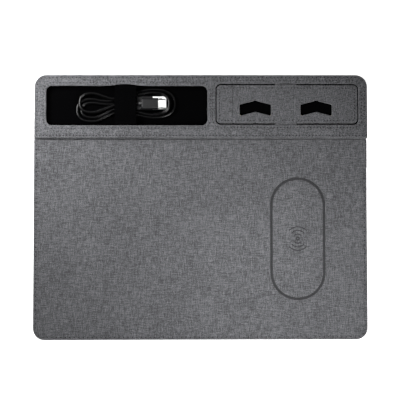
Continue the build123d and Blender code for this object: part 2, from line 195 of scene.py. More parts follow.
def linen(name, dark, middle, light, sheen=0.15, grain_weight=1.7):
    """Linen-look woven cloth: crossed threads with thick and thin places, in three greys."""
    material, tree, shader = new_material(
        name, Roughness=0.85, Specular_IOR_Level=0.25, Sheen_Weight=sheen
    )
    across = noise(tree, (0.16, 1.9, 1.0), 3.0, 0.6, 0.2)
    along = noise(tree, (1.9, 0.16, 1.0), 3.0, 0.6, 0.2)
    grain = noise(tree, (1.3, 1.3, 1.3), 2.0, 0.7)
    cloud = noise(tree, (0.02, 0.02, 0.02), 2.0)
    tone = weighted(tree, [(across, 1.5), (along, 1.5), (grain, grain_weight), (cloud, 0.25)])
    colour = ramp(tree, tone, [(0.12, dark), (0.5, middle), (0.88, light)])
    tree.links.new(colour, shader.inputs["Base Color"])
    weft = wave(tree, "Y", 0.62, 0.6)
    warp = wave(tree, "X", 0.62, 0.6)
    height = combine(tree, "MAXIMUM", weft, warp)
    height = combine(tree, "ADD", height, combine(tree, "MULTIPLY", tone, 1.2))
    bump(tree, shader, height, 0.16 * MM, 0.8)
    return material


def flock(name, colour, grain=4.0):
    """Matt black flocked lining."""
    material, tree, shader = new_material(name, Roughness=0.95, Specular_IOR_Level=0.0)
    fuzz = noise(tree, (grain,) * 3, 3.0, 0.7)
    tree.links.new(
        ramp(tree, fuzz, [(0.3, [c * 0.6 for c in colour]), (0.7, [c * 1.6 for c in colour])]),
        shader.inputs["Base Color"],
    )
    bump(tree, shader, fuzz, 0.2 * MM, 0.6)
    return material


def moulded(name, colour, roughness=0.45, grain=3.0, depth=0.03, specular=0.5):
    """Moulded plastic or rubber with a fine spark-eroded grain."""
    material, tree, shader = new_material(name, Specular_IOR_Level=specular)
    speckle = noise(tree, (grain,) * 3, 4.0, 0.6)
    rough = ramp(tree, speckle, [(0.3, (roughness * 0.85,) * 3), (0.7, (roughness * 1.15,) * 3)])
    tree.links.new(rough, shader.inputs["Roughness"])
    tint = ramp(tree, speckle, [(0.25, [c * 0.85 for c in colour]), (0.75, [c * 1.15 for c in colour])])
    tree.links.new(tint, shader.inputs["Base Color"])
    bump(tree, shader, speckle, depth * MM, 0.5)
    return material


def plated(name, colour, roughness, brushed=(0.3, 6.0, 6.0)):
    """Plated sheet metal with faint drawing marks."""
    material, tree, shader = new_material(name, Metallic=1.0)
    marks = noise(tree, brushed, 3.0, 0.6)
    rough = ramp(tree, marks, [(0.3, (roughness * 0.7,) * 3), (0.7, (roughness * 1.3,) * 3)])
    tree.links.new(rough, shader.inputs["Roughness"])
    tint = ramp(tree, marks, [(0.3, [c * 0.94 for c in colour]), (0.7, colour)])
    tree.links.new(tint, shader.inputs["Base Color"])
    return material


GREY_DARK = (0.025, 0.025, 0.0272)
GREY_MIDDLE = (0.062, 0.0625, 0.0668)
GREY_LIGHT = (0.13, 0.132, 0.139)
materials = {
    "pad_fabric": linen("pad_linen", GREY_DARK, GREY_MIDDLE, GREY_LIGHT),
    "stand_fabric": linen("stand_linen", GREY_DARK, GREY_MIDDLE, GREY_LIGHT, 0.15, 2.6),
    "mark_film": linen("mark_film", (0.018,) * 3, (0.024, 0.024, 0.026), (0.032, 0.032, 0.034), 0.0),
    "black_lining": flock("black_flock", (0.0008, 0.0008, 0.0009)),
    "black_elastic": flock("black_elastic", (0.0009, 0.0009, 0.001), 2.0),
    "base_rubber": moulded("base_rubber", (0.022, 0.022, 0.024), 0.7, 1.2, 0.15, 0.3),
    "core_board": moulded("core_board", (0.26, 0.22, 0.17), 0.9, 2.0, 0.05, 0.2),
    "eva_foam": moulded("eva_foam", (0.04, 0.04, 0.043), 0.9, 2.5, 0.1, 0.2),
    "housing_plastic": moulded("housing_plastic", (0.014, 0.014, 0.015), 0.4),
    "ferrite": moulded("ferrite", (0.035, 0.035, 0.038), 0.6),
    "copper": plated("copper_wire", (0.75, 0.34, 0.18), 0.3),
    "circuit_board": moulded("solder_resist", (0.012, 0.09, 0.03), 0.35, 0.8),
    "chip_plastic": moulded("chip_plastic", (0.015, 0.015, 0.016), 0.5),
    "cable_jacket": moulded("cable_jacket", (0.0012, 0.0012, 0.0013), 0.22, 3.0, 0.005, 0.16),
    "plug_plastic": moulded("plug_plastic", (0.006, 0.006, 0.0065), 0.42, 3.0, 0.02, 0.25),
    "plug_insulator": moulded("plug_insulator", (0.8, 0.8, 0.78), 0.4),
    "connector_steel": plated("nickel_shell", (0.94, 0.94, 0.93), 0.32),
    "magnet_nickel": plated("magnet_nickel", (0.7, 0.7, 0.69), 0.2),
    "keeper_steel": plated("keeper_steel", (0.5, 0.5, 0.5), 0.35),
}
strip_linen = linen("strip_linen", GREY_DARK, GREY_MIDDLE, GREY_LIGHT, 0.15, 2.6)
thread_grey = moulded("sewing_thread", (0.055, 0.055, 0.059), 0.7, 6.0, 0.04, 0.3)
# dark colour for the needle holes: painted shade where the thread goes into the cloth
needle_hole = moulded("needle_hole", (0.012, 0.012, 0.013), 0.9, 4.0, 0.02, 0.1)

for entry in frame["record"]["subparts"]:
    node = frame["nodes"][entry["node"]]
    node.data.materials.clear()
    node.data.materials.append(materials[entry["material_slot"]])


# ------------------------------------------------------------------ mesh helpers
def finish_mesh(bm, name, body, slot, material=None, smooth=True):
    bmesh.ops.recalc_face_normals(bm, faces=bm.faces)
    mesh = bpy.data.meshes.new(name)
    bm.to_mesh(mesh)
    bm.free()
    if smooth:
        mesh.shade_smooth()
    mesh.materials.append(material or materials[slot])
    piece = bpy.data.objects.new(name, mesh)
    bpy.context.scene.collection.objects.link(piece)
    if body is not None:
        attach(piece, body)
    return piece


def rounded_loop(low, high, radii, inset=0.0, arc_steps=8, step=4 * MM):
    """Points round a box with rounded corners, anticlockwise from the front left corner's arc.

    The number of points doesn't depend on the inset, so loops at different insets line up.
    """
    width, depth = high[0] - low[0], high[1] - low[1]
    corners = [
        (low[0], low[1], 1, 1, radii[0]),
        (high[0], low[1], -1, 1, radii[1]),
        (high[0], high[1], -1, -1, radii[2]),
        (low[0], high[1], 1, -1, radii[3]),
    ]
    arcs = []
    for k, (x, y, sx, sy, radius) in enumerate(corners):
        centre = (x + sx * radius, y + sy * radius)
        reach = max(radius - inset, 0.02 * MM)
        if radius <= inset:
            centre = (x + sx * inset, y + sy * inset)
        start = math.pi + k * math.pi / 2
        angles = [start + math.pi / 2 * i / arc_steps for i in range(arc_steps + 1)]
        arcs.append([(centre[0] + reach * math.cos(a), centre[1] + reach * math.sin(a)) for a in angles])
    points = []
    for k, arc in enumerate(arcs):
        points += arc
        span = width if k % 2 == 0 else depth
        count = max(int(round(span / step)), 1)
        first, last = np.array(arc[-1]), np.array(arcs[(k + 1) % 4][0])
        points += [tuple(first + (last - first) * i / count) for i in range(1, count)]
    return np.array(points)


def ring(bm, points, z):
    heights = np.broadcast_to(z, len(points))
    return [bm.verts.new((p[0], p[1], h)) for p, h in zip(points, heights)]


def skin_rings(bm, rings):
    """Quads between rings of the same number of points."""
    for lower, upper in zip(rings, rings[1:]):
        count = len(lower)
        for i in range(count):
            j = (i + 1) % count
            bm.faces.new((lower[i], lower[j], upper[j], upper[i]))


def inside(x, y, loop):
    """Whether a point in plan lies inside a closed loop of vertices."""
    within = False
    for a, b in zip(loop, [*loop[1:], loop[0]]):
        if (a.co.y > y) != (b.co.y > y):
            if x < a.co.x + (y - a.co.y) / (b.co.y - a.co.y) * (b.co.x - a.co.x):
                within = not within
    return within


def fill_flat(bm, boundaries):
    """Triangles inside the first loop and outside the others, without new vertices."""
    verts = [v for loop in boundaries for v in loop]
    edges, start = [], 0
    for loop in boundaries:
        edges += [(start + i, start + (i + 1) % len(loop)) for i in range(len(loop))]
        start += len(loop)
    plan = [Vector((v.co.x / MM, v.co.y / MM)) for v in verts]
    found = delaunay_2d_cdt(plan, edges, [], 0, 1e-7)
    faces, origins = found[2], found[3]
    for face in faces:
        corners = [verts[origins[i][0]] for i in face]
        x = sum(v.co.x for v in corners) / 3
        y = sum(v.co.y for v in corners) / 3
        if inside(x, y, boundaries[0]) and not any(inside(x, y, hole) for hole in boundaries[1:]):
            bm.faces.new(corners)


# ------------------------------------------------------------------ stitches
def dashes(path, pitch, closed=True, keep=lambda p: True):
    """Middles and directions of stitches, evenly spaced along a path of points in plan."""
    points = np.array(path)
    if closed:
        points = np.vstack([points, points[:1]])
    runs = np.linalg.norm(np.diff(points, axis=0), axis=1)
    along = np.concatenate([[0], np.cumsum(runs)])
    count = int(round(along[-1] / pitch))
    places = (np.arange(count) + 0.5) * along[-1] / count
    middles = np.column_stack([np.interp(places, along, points[:, k]) for k in (0, 1)])
    ahead = np.column_stack([np.interp(places + 0.2 * MM, along, points[:, k]) for k in (0, 1)])
    headings = ahead - middles
    lengths = np.maximum(np.linalg.norm(headings, axis=1, keepdims=True), 1e-9)
    chosen = [i for i in range(count) if keep(middles[i])]
    return middles[chosen], (headings / lengths)[chosen]


def stitch_row(name, body, slot, rows, z, length, seed):
    """Thread dashes sunk in the cloth, and dark discs of painted shade at the needle holes between them, as
    two pieces.
    """
    rng = np.random.default_rng(seed)
    middles = np.vstack([r[0] for r in rows])
    headings = np.vstack([r[1] for r in rows])
    threads, hole_shade_discs = bmesh.new(), bmesh.new()
    for middle, heading in zip(middles, headings):
        turn = math.atan2(heading[1], heading[0]) + rng.normal(0, 0.05)
        scale = Matrix.Diagonal((length / 2 / THREAD_RADIUS * rng.uniform(0.9, 1.08), 1.0, 0.75, 1.0))
        place = Matrix.Translation((middle[0], middle[1], z)) @ Matrix.Rotation(turn, 4, "Z") @ scale
        bmesh.ops.create_uvsphere(threads, u_segments=10, v_segments=6, radius=THREAD_RADIUS, matrix=place)
        # a dark flattened disc at each needle hole, painted shade
        end = middle + heading * (length / 2 + 0.3 * MM)
        dip = Matrix.Translation((end[0], end[1], z)) @ Matrix.Diagonal((1.0, 1.0, 0.3, 1.0))
        bmesh.ops.create_uvsphere(hole_shade_discs, u_segments=8, v_segments=4, radius=HOLE_SHADE_RADIUS, matrix=dip)
    thread = finish_mesh(threads, name + "_thread", body, slot, thread_grey)
    hole = finish_mesh(hole_shade_discs, name + "_holes", body, slot, needle_hole)
    return thread, hole


def cut_inlet(bm):
    """Opens the right side of the cloth for the inlet's bezel."""
    for y in (inlet_low[1], inlet_high[1]):
        side = [f for f in bm.faces if f.calc_center_median().x > pad_high[0] - 0.5 * MM]
        edges = {e for f in side for e in f.edges}
        verts = {v for f in side for v in f.verts}
        bmesh.ops.bisect_plane(bm, geom=[*side, *edges, *verts], plane_co=(0, y, 0), plane_no=(0, 1, 0))

    def in_bezel(centre):
        level = inlet_low[2] < centre.z < inlet_high[2]
        return level and inlet_low[1] < centre.y < inlet_high[1] and centre.x > pad_high[0] - 0.5 * MM

    doomed = [f for f in bm.faces if in_bezel(f.calc_center_median())]
    bmesh.ops.delete(bm, geom=doomed, context="FACES")


def make_pad_cloth():
    """The lower pad's cloth: turned edges, a sewn line near the edge and the pressed zone outline."""
    radii = [CORNER] * 4
    top = pad_high[2]
    profile = [  # inset from the edge, height below the top
        (0.7, 5.4), (0.15, 5.1), (0.0, 4.4), (0.0, 1.6), (0.1, 0.8), (0.45, 0.32), (1.0, 0.07),
        (1.5, 0.0), (1.95, 0.05), (2.4, 0.2), (2.85, 0.05), (3.6, 0.0), (4.2, 0.0),
    ]
    bm = bmesh.new()
    rings = [
        ring(bm, rounded_loop(pad_low, pad_high, radii, inset * MM), top - drop * MM)
        for inset, drop in profile
    ]
    skin_rings(bm, rings)
    hole = ring(bm, rounded_loop(tray_low, tray_high, [5.5 * MM] * 4, -0.2 * MM), top)
    round_end = (zone_high[0] - zone_low[0]) / 2
    groove = [(-0.8, 0.0), (-0.45, 0.0), (-0.25, 0.03), (-0.15, 0.2), (-0.12, 0.33)]
    groove += [(ZONE_LINE - inset, drop) for inset, drop in reversed(groove)]
    groove_rings = [
        ring(
            bm,
            rounded_loop(zone_low, zone_high, [round_end - 0.01 * MM] * 4, inset * MM, arc_steps=24),
            top - drop * MM,
        )
        for inset, drop in groove
    ]
    skin_rings(bm, groove_rings)
    gutter_low = (strip_low[0] + 4.5 * MM, strip_low[1] - 0.9 * MM)
    gutter_high = (strip_high[0] - 4.5 * MM, strip_low[1] + 0.5 * MM)
    gutter = [(-0.3, 0.0), (0.0, 0.0), (0.12, 0.05), (0.25, 0.35), (0.3, 0.6)]
    gutter_rings = [
        ring(bm, rounded_loop(gutter_low, gutter_high, [0.6 * MM] * 4, inset * MM), top - drop * MM)
        for inset, drop in gutter
    ]
    skin_rings(bm, gutter_rings)
    fill_flat(bm, [gutter_rings[-1]])
    fill_flat(bm, [rings[-1], hole, groove_rings[0], gutter_rings[0]])
    fill_flat(bm, [groove_rings[-1]])
    cut_inlet(bm)
    cloth = finish_mesh(bm, "pad_cloth", "root", "pad_fabric")
    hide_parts("main_cover")

    def on_lower_pad(p):
        beside_inlet = p[0] > 0 and abs(p[1] - (inlet_low[1] + inlet_high[1]) / 2) < INLET_STITCH_GAP
        return p[1] < strip_low[1] - 1.5 * MM and not beside_inlet

    row = rounded_loop(pad_low, pad_high, radii, PAD_STITCH_INSET)
    rows = [dashes(row, 4.0 * MM, keep=on_lower_pad)]
    stitch_row("pad_edge", "root", "pad_fabric", rows, top - 0.08 * MM, 2.3 * MM, 1)


# ------------------------------------------------------------------ strip cloth
def tug(points, middle_x, half_width, lift, edge_y, reach):
    """Pushes a stretch of a window's rear edge outwards, fading away from the edge."""
    moved = points.copy()
    across = np.clip(np.abs(points[:, 0] - middle_x) / half_width, 0, 1)
    near = np.clip(1 - np.abs(points[:, 1] - edge_y) / reach, 0, 1)
    moved[:, 1] += lift * (0.5 + 0.5 * np.cos(math.pi * across)) * near
    return moved


def window_loop(low, high, radius, outset):
    """A window's edge, bowed where the elastic or the stand's tab pulls the frame."""
    inner_low = low + LINING
    inner_high = high - LINING
    if low[0] < 0:  # the tray's front edge is pulled forward
        inner_low = inner_low - np.array((0.0, 0.5, 0.0)) * MM
    points = rounded_loop(inner_low, inner_high, [radius] * 4, -outset, step=2 * MM)
    if low[0] < 0:
        middle = (band_low[0] + band_high[0]) / 2
        return tug(points, middle, 20 * MM, 1.5 * MM, inner_high[1] + outset, 6 * MM)
    middle = (frame_tabs[0] + frame_tabs[1]) / 2
    return tug(points, middle, 12 * MM, 0.7 * MM, inner_high[1] + outset, 6 * MM)


tab_low, tab_high = box_of("centre_panel_cover")
frame_tabs = (tab_low[0], tab_high[0])


def make_strip_cloth():
    """The raised strip's cloth, with its two windows and its front edge turned under."""
    radii = [0.9 * MM, 0.9 * MM, CORNER, CORNER]
    top = strip_high[2]
    # the folded cloth lies a little past the strip's core on the right and at the rear
    low_edge = strip_low + np.array((0.5, 0.0, 0.0)) * MM
    high_edge = strip_high + np.array((0.8, 0.6, 0.0)) * MM
    outer_profile = [
        (0.5, 4.0), (0.1, 3.8), (0.0, 3.4), (0.0, 1.3), (0.12, 0.75), (0.42, 0.3), (0.95, 0.06),
        (1.5, 0.0), (2.05, 0.05), (2.45, 0.22), (2.85, 0.05), (3.25, 0.0), (3.5, 0.0),
    ]
    bm = bmesh.new()
    rings = [
        ring(bm, rounded_loop(low_edge, high_edge, radii, inset * MM), top - drop * MM)
        for inset, drop in outer_profile
    ]
    skin_rings(bm, rings)
    boundaries = [rings[-1]]
    window_profile = [
        (3.6, 0.0), (3.35, 0.0), (3.05, 0.02), (2.7, 0.1), (2.35, 0.02), (1.4, 0.0), (0.8, 0.04), (0.3, 0.22),
        (0.06, 0.5), (0.0, 0.9), (0.0, 1.55),
    ]
    for low, high, radius in ((tray_low, tray_high, TRAY_RADIUS), (well_low, well_high, WELL_RADIUS)):
        window = [
            ring(bm, window_loop(low, high, radius, outset * MM), top - drop * MM)
            for outset, drop in window_profile
        ]
        skin_rings(bm, window)
        boundaries.append(window[0])
    fill_flat(bm, boundaries)
    cloth = finish_mesh(bm, "strip_cloth", "root", "pad_fabric", strip_linen)
    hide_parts("strip_cover")

    def off_front(p):
        return p[1] > strip_low[1] + 4 * MM

    def on_front(p):
        return p[1] < strip_low[1] + 4 * MM

    edge = rounded_loop(low_edge, high_edge, radii, STRIP_STITCH_INSET)
    z = top - 0.1 * MM
    stitch_row("strip_edge", "root", "pad_fabric", [dashes(edge, 3.5 * MM, keep=off_front)], z, 2.2 * MM, 2)
    stitch_row("strip_seam", "root", "pad_fabric", [dashes(edge, 3.0 * MM, keep=on_front)], z, 2.0 * MM, 3)
    for name, low, high, radius, seed in (
        ("tray_frame", tray_low, tray_high, TRAY_RADIUS, 4),
        ("stand_frame", well_low, well_high, WELL_RADIUS, 5),
    ):
        row = window_loop(low, high, radius, WINDOW_STITCH_INSET)
        stitch_row(name, "root", "pad_fabric", [dashes(row, WINDOW_STITCH_PITCH)], z, 2.0 * MM, seed)


def make_zone_line():
    """Dark band pressed into the cloth round the charging zone."""
    round_end = (zone_high[0] - zone_low[0]) / 2 - 0.01 * MM
    section = [(-0.1, 0.3), (-0.05, 0.13), (0.2, 0.09), (1.05, 0.08), (1.9, 0.09), (2.15, 0.13), (2.2, 0.3)]
    bm = bmesh.new()
    rings = [
        ring(
            bm,
            rounded_loop(zone_low, zone_high, [round_end] * 4, inset * MM, arc_steps=24),
            pad_high[2] - drop * MM,
        )
        for inset, drop in section
    ]
    skin_rings(bm, [*rings, rings[0]])
    band = finish_mesh(bm, "charging_zone_line", "root", "mark_film")
    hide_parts("charging_outline")


make_pad_cloth()
make_strip_cloth()
make_zone_line()


# ------------------------------------------------------------------ wireless sign
def make_icon():
    """Dark print on the cloth: a ring with three arcs above it and three below."""
    middle = (icon_low + icon_high) / 2
    top = pad_high[2] + 0.05 * MM
    largest = (icon_high[1] - icon_low[1]) / 2 - ICON_LINE / 2
    shapes = [((1.8 - 0.55) * MM, 1.1 * MM, 0.0, TAU)]
    half_angle = math.radians(50)
    for radius in (largest - 6.5 * MM, largest - 3.2 * MM, largest):
        for heading in (math.pi / 2, -math.pi / 2):
            shapes.append((radius, ICON_LINE, heading - half_angle, heading + half_angle))
    bm = bmesh.new()
    for radius, width, start, end in shapes:
        steps = 36
        rows = []
        for i in range(steps + 1):
            a = start + (end - start) * i / steps
            taper = math.sqrt(max(0.0, 1 - abs(2 * i / steps - 1) ** 24)) if end - start < 6 else 1.0
            half = max(width / 2 * taper, 0.05 * MM)
            places = [(radius - half, top - 0.12 * MM), (radius - half, top), (radius + half, top),
                      (radius + half, top - 0.12 * MM)]
            rows.append([
                bm.verts.new((middle[0] + r * math.cos(a), middle[1] + r * math.sin(a), z)) for r, z in places
            ])
        for before, after in zip(rows, rows[1:]):
            for k in range(4):
                bm.faces.new((before[k], before[(k + 1) % 4], after[(k + 1) % 4], after[k]))
        if end - start < 6:
            bm.faces.new(rows[0])
            bm.faces.new(rows[-1])
    bmesh.ops.remove_doubles(bm, verts=bm.verts, dist=1e-6)
    sign = finish_mesh(bm, "charging_sign", "root", "mark_film", smooth=False)
    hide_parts("charging_icon")


make_icon()


# ------------------------------------------------------------------ phone stand
PLATE_LOW = np.array([box_of("left_end_flap_cover")[0][0], box_of("left_end_flap_cover")[0][1]])
PLATE_HIGH = np.array([box_of("right_end_flap_cover")[1][0], box_of("right_end_flap_cover")[1][1]])
# the plate's cloth is drawn in at the front and rear, which opens the gap round it
PLATE_LOW[1] += 0.42 * MM
PLATE_HIGH[1] -= 0.3 * MM
PLATE_BOTTOM, PLATE_TOP = box_of("left_inner_leg_cover")[0][2], box_of("left_inner_leg_cover")[1][2]
LEG = 20.0 * MM
PLATE_RADIUS = 3.7 * MM
NOTCH_HALF = 14.1 * MM
NOTCH_RISE = 3.6 * MM
NOTCH_FRONT = 82.4 * MM
NOTCH_REAR = 92.7 * MM
NOTCH_FRONT_RADIUS = 0.8 * MM
NOTCH_REAR_RADIUS = 1.0 * MM
SKIN = 0.5 * MM
joint_x = {joint["name"]: joint["pos_m"][0] for joint in frame["record"]["behaviour"]["joints"]}
SIDES = {"left": -1.0, "right": 1.0}
CREASE_DEPTH = {  # how far the cloth dips along each fold when flat, millimetres
    "left_stand_fold": 0.1,
    "left_flap_fold": 0.38,
    "right_stand_fold": 0.32,
    "right_flap_fold": 0.16,
}


def arc_points(centre, radius, start, end, steps=5):
    angles = [math.radians(start + (end - start) * i / steps) for i in range(steps + 1)]
    return [(centre[0] + radius * math.cos(a), centre[1] + radius * math.sin(a)) for a in angles]


def notch_edge(x, ridge, rear):
    """Y of the arrowhead's front or rear edge at a place along X."""
    base = NOTCH_REAR if rear else NOTCH_FRONT
    return base + NOTCH_RISE * (1 - abs(x - ridge) / NOTCH_HALF)


def leg_outline(x_ridge, x_crease, ridge):
    """Outline of a leg, with its half of the arrowhead cut out of the edge by the ridge."""
    way = math.copysign(1.0, x_crease - x_ridge)
    tip = ridge + way * NOTCH_HALF
    low, high = PLATE_LOW[1], PLATE_HIGH[1]
    slope = NOTCH_RISE / NOTCH_HALF
    lean = math.degrees(math.atan(slope))
    hypot = math.hypot(1.0, slope)
    rear_y = NOTCH_REAR + (slope - hypot) * NOTCH_REAR_RADIUS
    front_y = NOTCH_FRONT + (slope + hypot) * NOTCH_FRONT_RADIUS
    rear = arc_points((tip - NOTCH_REAR_RADIUS, rear_y), NOTCH_REAR_RADIUS, 90 - lean, 0)
    front = arc_points((tip - NOTCH_FRONT_RADIUS, front_y), NOTCH_FRONT_RADIUS, 0, -90 - lean)
    if way < 0:
        rear = [(2 * tip - x, y) for x, y in rear]
        front = [(2 * tip - x, y) for x, y in front]
    points = [(x_ridge, low), (x_crease, low), (x_crease, high), (x_ridge, high)]
    points += [(x_ridge, notch_edge(x_ridge, ridge, True)), *rear, *front]
    return points + [(x_ridge, notch_edge(x_ridge, ridge, False))]


def flap_outline(x_crease, x_end):
    """Outline of an end flap, whose far corners are round."""
    way = math.copysign(1.0, x_end - x_crease)
    low, high, r = PLATE_LOW[1], PLATE_HIGH[1], PLATE_RADIUS
    rear = arc_points((x_end - way * r, high - r), r, 0, 90)
    front = arc_points((x_end - way * r, low + r), r, -90, 0)
    if way < 0:
        rear = [(2 * (x_end + r) - x, y) for x, y in rear]
        front = [(2 * (x_end + r) - x, y) for x, y in front]
    return [(x_crease, low), *front, *rear, (x_crease, high)]


def cloth_board(name, body, outline, joined_x, low=None, across=(), dimple=None):
    """Cloth round a board, or across a crease: a closed shape whose free edges are rounded.

    joined_x lists the X of the edges that carry on into the next piece, which stay sharp.
    """
    bm = bmesh.new()
    bottom = PLATE_BOTTOM if low is None else low
    face = bm.faces.new([bm.verts.new((x, y, bottom)) for x, y in outline])
    lifted = bmesh.ops.extrude_face_region(bm, geom=[face])["geom"]
    bmesh.ops.translate(bm, verts=[v for v in lifted if isinstance(v, bmesh.types.BMVert)],
                        vec=(0, 0, PLATE_TOP - bottom))
    bmesh.ops.recalc_face_normals(bm, faces=bm.faces)

    def free(edge):
        first, second = (v.co for v in edge.verts)
        level = abs(first.z - second.z) < 1e-7
        top_or_bottom = first.z > PLATE_TOP - 1e-6 or low is None
        joined = any(abs(first.x - x) < 1e-6 and abs(second.x - x) < 1e-6 for x in joined_x)
        return level and top_or_bottom and not joined

    rounded = [e for e in bm.edges if free(e)]
    bmesh.ops.bevel(bm, geom=rounded, offset=0.45 * MM, segments=3, profile=0.5, affect="EDGES")
    for x in across:
        everything = [*bm.verts, *bm.edges, *bm.faces]
        bmesh.ops.bisect_plane(bm, geom=everything, plane_co=(x, 0, 0), plane_no=(1, 0, 0))
    if dimple is not None:
        middle, half, depth = dimple
        for vert in bm.verts:
            if vert.co.z > PLATE_TOP - 0.2 * MM:
                vert.co.z -= depth * max(0.0, 1 - abs(vert.co.x - middle) / half)
    bmesh.ops.triangulate(bm, faces=[f for f in bm.faces if len(f.verts) > 4])
    return finish_mesh(bm, name, body, "stand_fabric", smooth=False)


def stitches_on(name, body, x_low, x_high, seed):
    """Sewn rows along the plate's front and rear edges, and along its end on a flap."""
    inset = 2.6 * MM
    ring_line = rounded_loop(PLATE_LOW, PLATE_HIGH, [PLATE_RADIUS] * 4, inset, step=1 * MM)
    row = dashes(ring_line, 2.9 * MM, keep=lambda p: x_low < p[0] < x_high)
    stitch_row(name, body, "stand_fabric", [row], PLATE_TOP - 0.05 * MM, 1.9 * MM, seed)


def strip_between(name, hinge, half, low, spans, dimple=None):
    """Pieces of cloth across a hinge line, between the two bodies that it joins, cut across at even steps."""
    start, end = hinge + half, hinge - half
    steps = [hinge + half * t for t in (-0.75, -0.5, -0.25, 0.0, 0.25, 0.5, 0.75)]
    for k, (front, rear) in enumerate(spans):
        xs = [end, hinge, start]
        outline = [(x, front(x)) for x in xs] + [(x, rear(x)) for x in reversed(xs)]
        piece_name = f"{name}_{k}" if len(spans) > 1 else name
        piece = cloth_board(piece_name, None, outline, (start, end), low, steps, dimple)
        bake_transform(piece)


def make_stand():
    gap, ridge_gap = 0.9 * MM, 2.3 * MM
    centre = (joint_x["left_stand_fold"] + gap, joint_x["right_stand_fold"] - gap)
    low, high = PLATE_LOW[1], PLATE_HIGH[1]
    outline = [(centre[0], low), (centre[1], low), (centre[1], high), (centre[0], high)]
    middle = cloth_board("centre_panel_cloth", "root", outline, centre)
    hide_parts("centre_panel_cover")
    stitches_on("centre_panel", "root", *centre, 20)
    for number, (side, way) in enumerate(SIDES.items()):
        inner, ridge = joint_x[side + "_stand_fold"], joint_x[side + "_ridge_fold"]
        outer = joint_x[side + "_flap_fold"]
        bodies = {"inner": side + "_inner_leg", "outer": side + "_outer_leg", "flap": side + "_end_flap"}
        inner_x = (ridge - way * ridge_gap, inner + way * gap)
        outer_x = (ridge + way * ridge_gap, outer - way * gap)
        flap_x = (outer + way * gap, PLATE_LOW[0] if way < 0 else PLATE_HIGH[0])
        for part, xs in (("inner", inner_x), ("outer", outer_x)):
            cloth = cloth_board(bodies[part] + "_cloth", bodies[part], leg_outline(*xs, ridge), xs)
            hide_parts(bodies[part] + "_cover")
            stitches_on(bodies[part], bodies[part], min(xs), max(xs), 21 + 4 * number + (part == "outer"))
        flap = cloth_board(bodies["flap"] + "_cloth", bodies["flap"], flap_outline(*flap_x), flap_x[:1])
        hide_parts(bodies["flap"] + "_cover")
        stitches_on(bodies["flap"], bodies["flap"], min(flap_x), max(flap_x), 23 + 4 * number)

        whole = [(lambda x: low, lambda x: high)]
        for joint, hinge, near, far in (
            (side + "_stand_fold", inner, "root", bodies["inner"]),
            (side + "_flap_fold", outer, bodies["flap"], bodies["outer"]),
        ):
            dimple = (hinge, gap, CREASE_DEPTH[joint] * MM)
            strip_between(joint + "_cloth", hinge, gap, PLATE_TOP - SKIN, whole, dimple)
        beside_notch = [
            (lambda x: low, lambda x, r=ridge: notch_edge(x, r, False)),
            (lambda x, r=ridge: notch_edge(x, r, True), lambda x: high),
        ]
        strip_between(side + "_ridge_fold_cloth", ridge, ridge_gap, PLATE_TOP - SKIN, beside_notch)


def make_frame_tabs():
    """Ends of the middle panel's cloth, which dip under the frame's edge."""
    for name, edge, way in (("front_tab", PLATE_LOW[1], -1), ("rear_tab", PLATE_HIGH[1], 1)):
        bm = bmesh.new()
        reach = [  # outwards from the plate's edge, and down from its top, millimetres
            (-0.5, 0.02), (0.0, 0.12), (0.25, 0.3), (0.6, 0.6),
            (0.95, 0.95), (1.3, 1.1), (2.2, 1.15), (5.5, 1.2),
        ]
        xs = np.linspace(frame_tabs[0], frame_tabs[1], 17)
        layers = []
        for thickness in (0.0, 0.35 * MM):
            layers.append([
                [bm.verts.new((x, edge + way * out * MM, PLATE_TOP - drop * MM - thickness)) for x in xs]
                for out, drop in reach
            ])
        for rows in layers:
            for before, after in zip(rows, rows[1:]):
                for i in range(len(xs) - 1):
                    bm.faces.new((before[i], before[i + 1], after[i + 1], after[i]))
        top, under = layers
        rim, low_rim = (
            [*g[0], *[r[-1] for r in g[1:]], *reversed(g[-1][:-1]), *[r[0] for r in reversed(g[1:-1])]]
            for g in (top, under)
        )
        for i in range(len(rim)):
            j = (i + 1) % len(rim)
            bm.faces.new((rim[i], rim[j], low_rim[j], low_rim[i]))
        finish_mesh(bm, name + "_cloth", "root", "stand_fabric")


make_stand()
make_frame_tabs()


# ------------------------------------------------------------------ elastic
def make_elastic():
    """Ribbed woven elastic, sewn in under the tray's edges and arched over the bundle."""
    front, rear = tray_low[1] + LINING, tray_high[1] - LINING
    rest, crown = band_low[2] + 0.4 * MM, band_high[2] - 0.4 * MM
    ends = band_low[1], band_high[1]

    def middle_z(y):
        rise = min(1.0, max(0.0, (y - front + 0.4 * MM) / (14.4 * MM)))
        fall = min(1.0, max(0.0, (rear + 0.4 * MM - y) / (12.4 * MM)))
        part = min(rise, fall)
        return rest + (crown - rest) * (0.25 * part + 0.75 * part * part * (3 - 2 * part))

    rib = 0.97 * MM
    ys = np.linspace(ends[0], ends[1], 49)
    xs = np.arange(band_low[0], band_high[0] + 1e-6, rib / 4)
    half = 0.33 * MM
    bm = bmesh.new()
    sides = []
    for sign in (1, -1):
        sides.append([
            [bm.verts.new((x, y, middle_z(y) + sign * (half + 0.07 * MM * math.cos(TAU * (x - xs[0]) / rib))))
             for x in xs]
            for y in ys
        ])
    for rows in sides:
        for before, after in zip(rows, rows[1:]):
            for i in range(len(xs) - 1):
                bm.faces.new((before[i], before[i + 1], after[i + 1], after[i]))
    for a, b in zip(range(len(ys) - 1), range(1, len(ys))):
        for i in (0, len(xs) - 1):
            bm.faces.new((sides[0][a][i], sides[0][b][i], sides[1][b][i], sides[1][a][i]))
    for a in (0, len(ys) - 1):
        for i in range(len(xs) - 1):
            bm.faces.new((sides[0][a][i], sides[0][a][i + 1], sides[1][a][i + 1], sides[1][a][i]))
    band = finish_mesh(bm, "ribbed_elastic", "root", "black_elastic")
    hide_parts("elastic_band")


make_elastic()


# ------------------------------------------------------------------ cable
CABLE_DIAMETER = 3.2 * MM
ON_FLOOR, ON_TURN = 3.95, 7.15  # heights of the two layers of turns, millimetres


